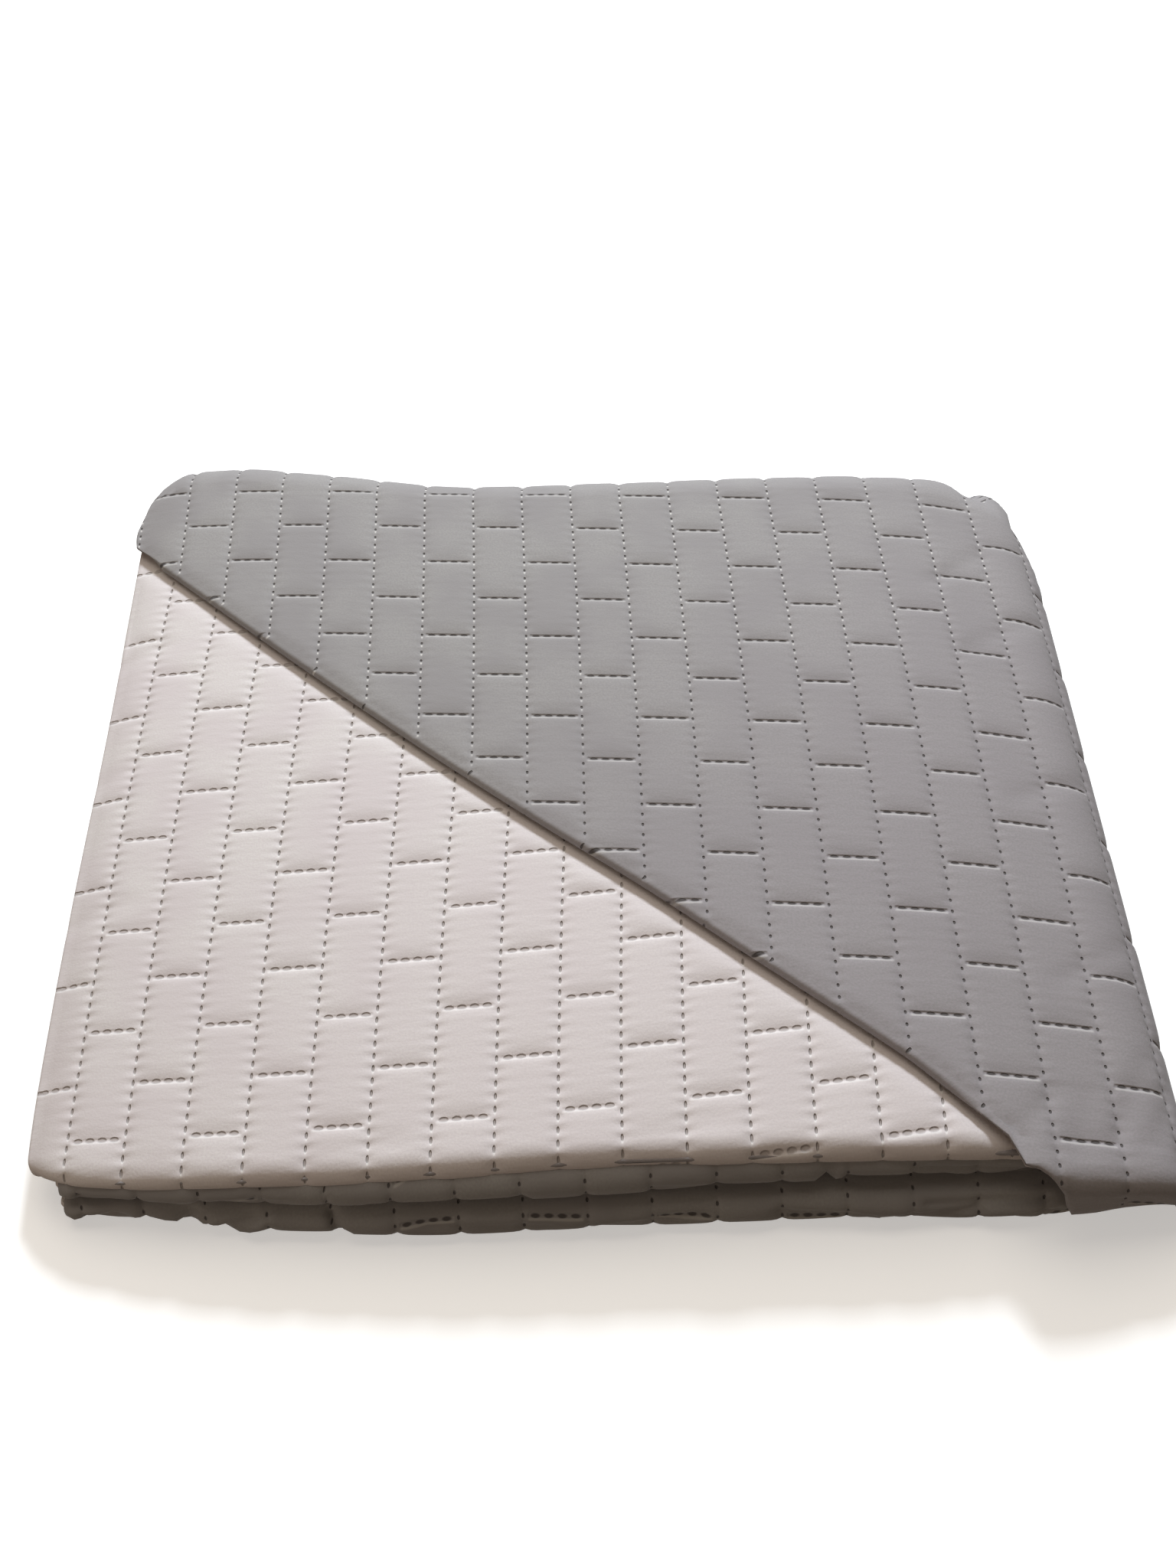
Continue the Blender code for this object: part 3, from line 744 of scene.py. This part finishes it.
# A painted glint, the highlight of the lit near wall of a dimple, lies this share of a step
# before each welded dot. A painted highlight rim, the lit near wall of the seam, lies this far
# before each dashed seam. Where the glints show and where the painted shade tint fades are places
# on the pattern that fall with each line by the two turns below, in columns. A dot, a glint and a
# dash reach these half lengths, and a pair of values is where a soft edge is full and where it
# ends.
GLINT_BEFORE = 0.27
HIGHLIGHT_RIM_BEFORE = 0.0013
PLACE_TURN = -0.35
SHADE_TINT_TURN = -1.0
FULL_SHADE_TINT = -8
NO_SHADE_TINT = 6
PATTERN_END = 15.2
DOT_REACH = 0.0005
GLINT_REACH = 0.0008
DASH_REACH = 0.0019
OVAL_EDGE = (0.3, 1.7)
SEAM_SHARE = (0.40, 0.45)
TRENCH_EDGE = (0.0002, 0.0014)
HIGHLIGHT_RIM_EDGE = (0.0002, 0.0009)
PUCKER_REACH = 0.0028
PATCH_EDGE = (0.65, 0.35)
GRAIN_EDGE = (0.3, 0.75)
SHADE_TINT_SHARE = 0.75
GRAIN_SHARE = 0.8
GLINT_SHARE = 0.6
NAP_IN_RELIEF = 1.5
WELD_INPUTS = ("Dot Length", "Dash Width", "Trench", "Pucker")


def calc(tree, operation, *values):
    """A Math node on numbers or sockets."""
    node = tree.nodes.new("ShaderNodeMath")
    node.operation = operation
    for socket, value in zip(node.inputs, values):
        if isinstance(value, (int, float)):
            socket.default_value = value
        else:
            tree.links.new(value, socket)
    return node.outputs[0]


def soft_mask(tree, value, full, none):
    """1 where value is at full, 0 where it is at none, and smooth between."""
    node = tree.nodes.new("ShaderNodeMapRange")
    node.interpolation_type = "SMOOTHSTEP"
    node.inputs["From Min"].default_value = none
    node.inputs["From Max"].default_value = full
    tree.links.new(value, node.inputs["Value"])
    return node.outputs["Result"]


def new_group(name, inputs, outputs):
    group = bpy.data.node_groups.new(name, "ShaderNodeTree")
    for socket, kind in inputs:
        group.interface.new_socket(socket, in_out="INPUT", socket_type=kind)
    for socket, kind in outputs:
        group.interface.new_socket(socket, in_out="OUTPUT", socket_type=kind)
    return group, group.nodes.new("NodeGroupInput"), group.nodes.new("NodeGroupOutput")


def distance_to_whole(tree, value):
    return calc(tree, "ABSOLUTE", calc(tree, "SUBTRACT", value, calc(tree, "ROUND", value)))


def oval_mask(tree, first, first_reach, second, second_reach):
    """1 inside an oval of these half lengths about the place where both distances are 0."""
    parts = [
        calc(tree, "POWER", calc(tree, "DIVIDE", value, reach), 2)
        for value, reach in ((first, first_reach), (second, second_reach))
    ]
    return soft_mask(tree, calc(tree, "ADD", *parts), *OVAL_EDGE)


def weld_group():
    """Masks of the dots, painted glints, dashes and painted highlight rims, and the relief."""
    outputs = ("Dots", "Flecks", "Dashes", "Rims", "Relief")
    group, start, end = new_group(
        "welded_stitches",
        [("Pattern", "NodeSocketVector")] + [(name, "NodeSocketFloat") for name in WELD_INPUTS],
        [(name, "NodeSocketFloat") for name in outputs],
    )
    split = group.nodes.new("ShaderNodeSeparateXYZ")
    group.links.new(start.outputs["Pattern"], split.inputs[0])
    s = calc(group, "DIVIDE", split.outputs["X"], COLUMN)
    t = calc(group, "DIVIDE", split.outputs["Y"], COLUMN)

    from_line = calc(group, "MULTIPLY", distance_to_whole(group, s), COLUMN)
    dot_count = calc(group, "MULTIPLY", calc(group, "SUBTRACT", t, 1), DOTS_PER_COLUMN)
    dot_step = COLUMN / DOTS_PER_COLUMN
    along = calc(group, "MULTIPLY", distance_to_whole(group, dot_count), dot_step)
    dots = oval_mask(group, from_line, DOT_REACH, along, start.outputs["Dot Length"])
    # The glints are painted highlights: the lit near wall of each welded dimple.
    before_dot = distance_to_whole(group, calc(group, "ADD", dot_count, GLINT_BEFORE))
    before_dot = calc(group, "MULTIPLY", before_dot, dot_step)
    flecks = oval_mask(group, from_line, DOT_REACH, before_dot, GLINT_REACH)

    brick = calc(group, "FLOOR", s)
    steps = calc(group, "DIVIDE", calc(group, "SUBTRACT", t, brick), 2)
    past_seam = calc(group, "SUBTRACT", steps, calc(group, "ROUND", steps))
    past_seam = calc(group, "MULTIPLY", past_seam, 2 * COLUMN)
    from_seam = calc(group, "ABSOLUTE", past_seam)
    middle = calc(group, "SUBTRACT", calc(group, "SUBTRACT", s, brick), 0.5)
    dash_count = calc(group, "MULTIPLY_ADD", middle, DASHES_PER_COLUMN, 0.5)
    dash_step = COLUMN / DASHES_PER_COLUMN
    across = calc(group, "MULTIPLY", distance_to_whole(group, dash_count), dash_step)
    inside = soft_mask(group, calc(group, "ABSOLUTE", middle), *SEAM_SHARE)
    dashes = oval_mask(group, from_seam, start.outputs["Dash Width"], across, DASH_REACH)
    dashes = calc(group, "MULTIPLY", dashes, inside)
    trench = calc(group, "MULTIPLY", soft_mask(group, from_seam, *TRENCH_EDGE), inside)
    # The rims are painted highlights: the lit near wall of each seam's trench.
    from_highlight_rim = calc(group, "ABSOLUTE", calc(group, "ADD", past_seam, HIGHLIGHT_RIM_BEFORE))
    highlight_rims = calc(group, "MULTIPLY", soft_mask(group, from_highlight_rim, *HIGHLIGHT_RIM_EDGE), inside)

    ripple = calc(group, "COSINE", calc(group, "MULTIPLY", dot_count, 2 * math.pi))
    fade = calc(group, "EXPONENT", calc(group, "DIVIDE", from_line, -PUCKER_REACH))
    ripple = calc(group, "MULTIPLY", ripple, fade)
    pucker = calc(group, "MULTIPLY", ripple, start.outputs["Pucker"])
    trench = calc(group, "MULTIPLY", trench, start.outputs["Trench"])
    sunk = calc(group, "MAXIMUM", dots, calc(group, "MAXIMUM", dashes, trench))
    relief = calc(group, "MULTIPLY", calc(group, "ADD", sunk, pucker), -1)
    for name, value in zip(outputs, (dots, flecks, dashes, highlight_rims, relief)):
        group.links.new(value, end.inputs[name])
    return group


def nap_group():
    """Brushed microfibre: a fine grain, a finer weave across it and broad soft patches."""
    group, start, end = new_group(
        "brushed_microfibre",
        [("Pattern", "NodeSocketVector")],
        [(name, "NodeSocketFloat") for name in ("Grain", "Patches", "Nap")],
    )
    for output, scale, detail, stretch in (
        ("Grain", 950, 4, (1, 1, 1)),
        ("Patches", 22, 3, (1, 1, 1)),
        ("Nap", 320, 3, (0.35, 1, 1)),
    ):
        mapping = group.nodes.new("ShaderNodeMapping")
        mapping.inputs["Scale"].default_value = stretch
        group.links.new(start.outputs["Pattern"], mapping.inputs["Vector"])
        noise = group.nodes.new("ShaderNodeTexNoise")
        noise.inputs["Scale"].default_value = scale
        noise.inputs["Detail"].default_value = detail
        group.links.new(mapping.outputs["Vector"], noise.inputs["Vector"])
        group.links.new(noise.outputs["Fac"], end.inputs[output])
    return group


def mix_colour(tree, share, first, second):
    node = tree.nodes.new("ShaderNodeMix")
    node.data_type = "RGBA"
    tree.links.new(share, node.inputs[0])
    for socket, value in ((node.inputs[6], first), (node.inputs[7], second)):
        if isinstance(value, tuple):
            socket.default_value = (*value, 1)
        else:
            tree.links.new(value, socket)
    return node.outputs[2]


Cloth = collections.namedtuple(
    "Cloth", "name colour shade tint weld fleck dot_share dash_share rim_share flecks welding"
)
# The highlight colour is painted light. It lightens the glints and rims that stand in for lit
# walls.
# The tint is painted shade: the darker, pinker colour of the cloth towards the front right.
CLOTHS = [
    Cloth(
        name="grey_microfibre", colour=(0.322, 0.312, 0.306), shade=(0.272, 0.259, 0.262),
        tint=(0.322, 0.290, 0.313), weld=(0.060, 0.052, 0.050), fleck=(0.68, 0.66, 0.63),
        dot_share=0.85, dash_share=0.9, rim_share=0.30, flecks=(7.5, 4.5),
        welding=(0.0008, 0.0008, 0.7, 0.22),
    ),
    Cloth(
        name="light_microfibre", colour=(0.660, 0.630, 0.612), shade=(0.605, 0.552, 0.556),
        tint=(0.668, 0.612, 0.608), weld=(0.27, 0.235, 0.22), fleck=(0.84, 0.82, 0.80),
        dot_share=0.75, dash_share=0.55, rim_share=0.35, flecks=(-9, -10),
        welding=(0.0014, 0.0011, 0.25, 0.45),
    ),
]


def cloth_material(cloth, welds, nap):
    material = bpy.data.materials.new(cloth.name)
    material.use_nodes = True
    tree = material.node_tree
    shader = tree.nodes["Principled BSDF"]
    shader.inputs["Sheen Weight"].default_value = 0.12
    shader.inputs["Sheen Roughness"].default_value = 0.5
    shader.inputs["Specular IOR Level"].default_value = 0.2
    uv = tree.nodes.new("ShaderNodeUVMap")
    uv.uv_map = "quilting"
    marks = tree.nodes.new("ShaderNodeGroup")
    marks.node_tree = welds
    for name, value in zip(WELD_INPUTS, cloth.welding):
        marks.inputs[name].default_value = value
    fuzz = tree.nodes.new("ShaderNodeGroup")
    fuzz.node_tree = nap
    tree.links.new(uv.outputs["UV"], marks.inputs["Pattern"])
    tree.links.new(uv.outputs["UV"], fuzz.inputs["Pattern"])

    patches = soft_mask(tree, fuzz.outputs["Patches"], *PATCH_EDGE)
    colour = mix_colour(tree, patches, cloth.shade, cloth.colour)
    split = tree.nodes.new("ShaderNodeSeparateXYZ")
    tree.links.new(uv.outputs["UV"], split.inputs[0])
    place = calc(tree, "MULTIPLY_ADD", split.outputs["X"], PLACE_TURN, split.outputs["Y"])
    # Painted shade: towards the front right the colour turns to the darker, pinker tint, as the
    # fading light does there.
    shade_tint_place = calc(tree, "MULTIPLY_ADD", split.outputs["X"], SHADE_TINT_TURN, split.outputs["Y"])
    shade_tinted = soft_mask(tree, shade_tint_place, FULL_SHADE_TINT * COLUMN, NO_SHADE_TINT * COLUMN)
    colour = mix_colour(tree, calc(tree, "MULTIPLY", shade_tinted, SHADE_TINT_SHARE), colour, cloth.tint)
    grain = soft_mask(tree, fuzz.outputs["Grain"], *GRAIN_EDGE)
    grain = calc(tree, "MULTIPLY", grain, GRAIN_SHARE)
    colour = mix_colour(tree, grain, colour, cloth.shade)
    # Painted highlights: glints before the dots, on the back of the top layer only, and rims
    # before the seams.
    shown = soft_mask(tree, place, cloth.flecks[0] * COLUMN, cloth.flecks[1] * COLUMN)
    on_top = soft_mask(tree, split.outputs["Y"], PATTERN_END * COLUMN, (PATTERN_END + 1) * COLUMN)
    shown = calc(tree, "MULTIPLY", shown, on_top)
    flecks = calc(tree, "MULTIPLY", marks.outputs["Flecks"], shown)
    flecks = calc(tree, "MULTIPLY", flecks, GLINT_SHARE)
    highlight_rims = calc(tree, "MULTIPLY", marks.outputs["Rims"], cloth.rim_share)
    colour = mix_colour(tree, calc(tree, "MAXIMUM", flecks, highlight_rims), colour, cloth.fleck)
    dots = calc(tree, "MULTIPLY", marks.outputs["Dots"], cloth.dot_share)
    dashes = calc(tree, "MULTIPLY", marks.outputs["Dashes"], cloth.dash_share)
    colour = mix_colour(tree, calc(tree, "MAXIMUM", dots, dashes), colour, cloth.weld)
    tree.links.new(colour, shader.inputs["Base Color"])
    roughness = calc(tree, "MULTIPLY_ADD", fuzz.outputs["Nap"], 0.15, 0.75)
    tree.links.new(roughness, shader.inputs["Roughness"])

    relief = tree.nodes.new("ShaderNodeBump")
    relief.inputs["Strength"].default_value = 1.0
    relief.inputs["Distance"].default_value = 0.0006
    tree.links.new(marks.outputs["Relief"], relief.inputs["Height"])
    weave = tree.nodes.new("ShaderNodeBump")
    weave.inputs["Strength"].default_value = 0.35
    weave.inputs["Distance"].default_value = 0.00025
    height = calc(tree, "MULTIPLY", fuzz.outputs["Nap"], NAP_IN_RELIEF)
    height = calc(tree, "ADD", fuzz.outputs["Grain"], height)
    tree.links.new(height, weave.inputs["Height"])
    tree.links.new(relief.outputs["Normal"], weave.inputs["Normal"])
    tree.links.new(weave.outputs["Normal"], shader.inputs["Normal"])
    return material


# Floor, light and camera

# Name, place, size, power and colour of each lamp. All of them face the middle of the quilt.
LAMPS = [
    ("key", (0.15, 1.50, 1.32), 0.32, 45, (0.86, 0.93, 1.0)),
    ("overhead", (-0.1, 0.7, 1.7), 1.5, 14, (1.0, 0.92, 0.80)),
    ("side", (-1.3, -1.1, 0.7), 0.6, 3.2, (1.0, 0.84, 0.68)),
]
CAMERA_PLACE = (0.02644, -0.48545, 0.633)
CAMERA_HEADING = math.radians(3.112)
CAMERA_TILT = math.radians(90 - 51.78)
CAMERA_ROLL = math.radians(-5.37)
CAMERA_LENS = 37.46


def floor():
    """A pale floor. It glows a little, so that it stays even, and doesn't light the cloth."""
    bpy.ops.mesh.primitive_plane_add(size=12, location=(0, 0, -0.0004))
    plane = bpy.context.object
    plane.name = "floor"
    material = bpy.data.materials.new("floor_white")
    material.use_nodes = True
    shader = material.node_tree.nodes["Principled BSDF"]
    shader.inputs["Base Color"].default_value = (0.85, 0.85, 0.85, 1)
    shader.inputs["Roughness"].default_value = 0.9
    shader.inputs["Emission Color"].default_value = (1, 0.99, 0.98, 1)
    shader.inputs["Emission Strength"].default_value = 0.42
    material.cycles.emission_sampling = "NONE"
    plane.data.materials.append(material)
    plane.visible_diffuse = False


def area_light(name, place, size, power, colour):
    data = bpy.data.lights.new(name, "AREA")
    data.shape = "SQUARE"
    data.size = size
    data.energy = power
    data.color = colour
    light = bpy.data.objects.new(name, data)
    light.location = place
    light.rotation_euler = (-Vector(place)).to_track_quat("-Z", "Y").to_euler()
    bpy.context.scene.collection.objects.link(light)


def surroundings():
    """A pale backdrop for the camera, a dim warm room for the cloth, and the lamps."""
    world = bpy.data.worlds.new("studio")
    world.use_nodes = True
    tree = world.node_tree
    room = tree.nodes["Background"]
    room.inputs["Color"].default_value = (1.0, 0.80, 0.60, 1)
    room.inputs["Strength"].default_value = 0.12
    backdrop = tree.nodes.new("ShaderNodeBackground")
    backdrop.inputs["Color"].default_value = (0.62, 0.61, 0.60, 1)
    path = tree.nodes.new("ShaderNodeLightPath")
    mix = tree.nodes.new("ShaderNodeMixShader")
    tree.links.new(path.outputs["Is Camera Ray"], mix.inputs[0])
    tree.links.new(room.outputs[0], mix.inputs[1])
    tree.links.new(backdrop.outputs[0], mix.inputs[2])
    tree.links.new(mix.outputs[0], tree.nodes["World Output"].inputs["Surface"])
    bpy.context.scene.world = world
    for lamp in LAMPS:
        area_light(*lamp)
    bpy.context.scene.view_settings.view_transform = "Standard"


def camera():
    data = bpy.data.cameras.new("camera")
    data.sensor_width = 36
    data.lens = CAMERA_LENS
    data.clip_start = 0.05
    view = bpy.data.objects.new("camera", data)
    bpy.context.scene.collection.objects.link(view)
    heading = Matrix.Rotation(CAMERA_HEADING, 4, "Z")
    tilt = Matrix.Rotation(CAMERA_TILT, 4, "X")
    roll = Matrix.Rotation(CAMERA_ROLL, 4, "Z")
    view.matrix_world = Matrix.Translation(CAMERA_PLACE) @ heading @ tilt @ roll
    bpy.context.scene.camera = view


bpy.ops.object.select_all(action="DESELECT")
camera()
quilt = quilt_piece()
welds, nap = weld_group(), nap_group()
for cloth in CLOTHS:
    quilt.data.materials.append(cloth_material(cloth, welds, nap))
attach(quilt, "root")
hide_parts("quilt")
floor()
surroundings()
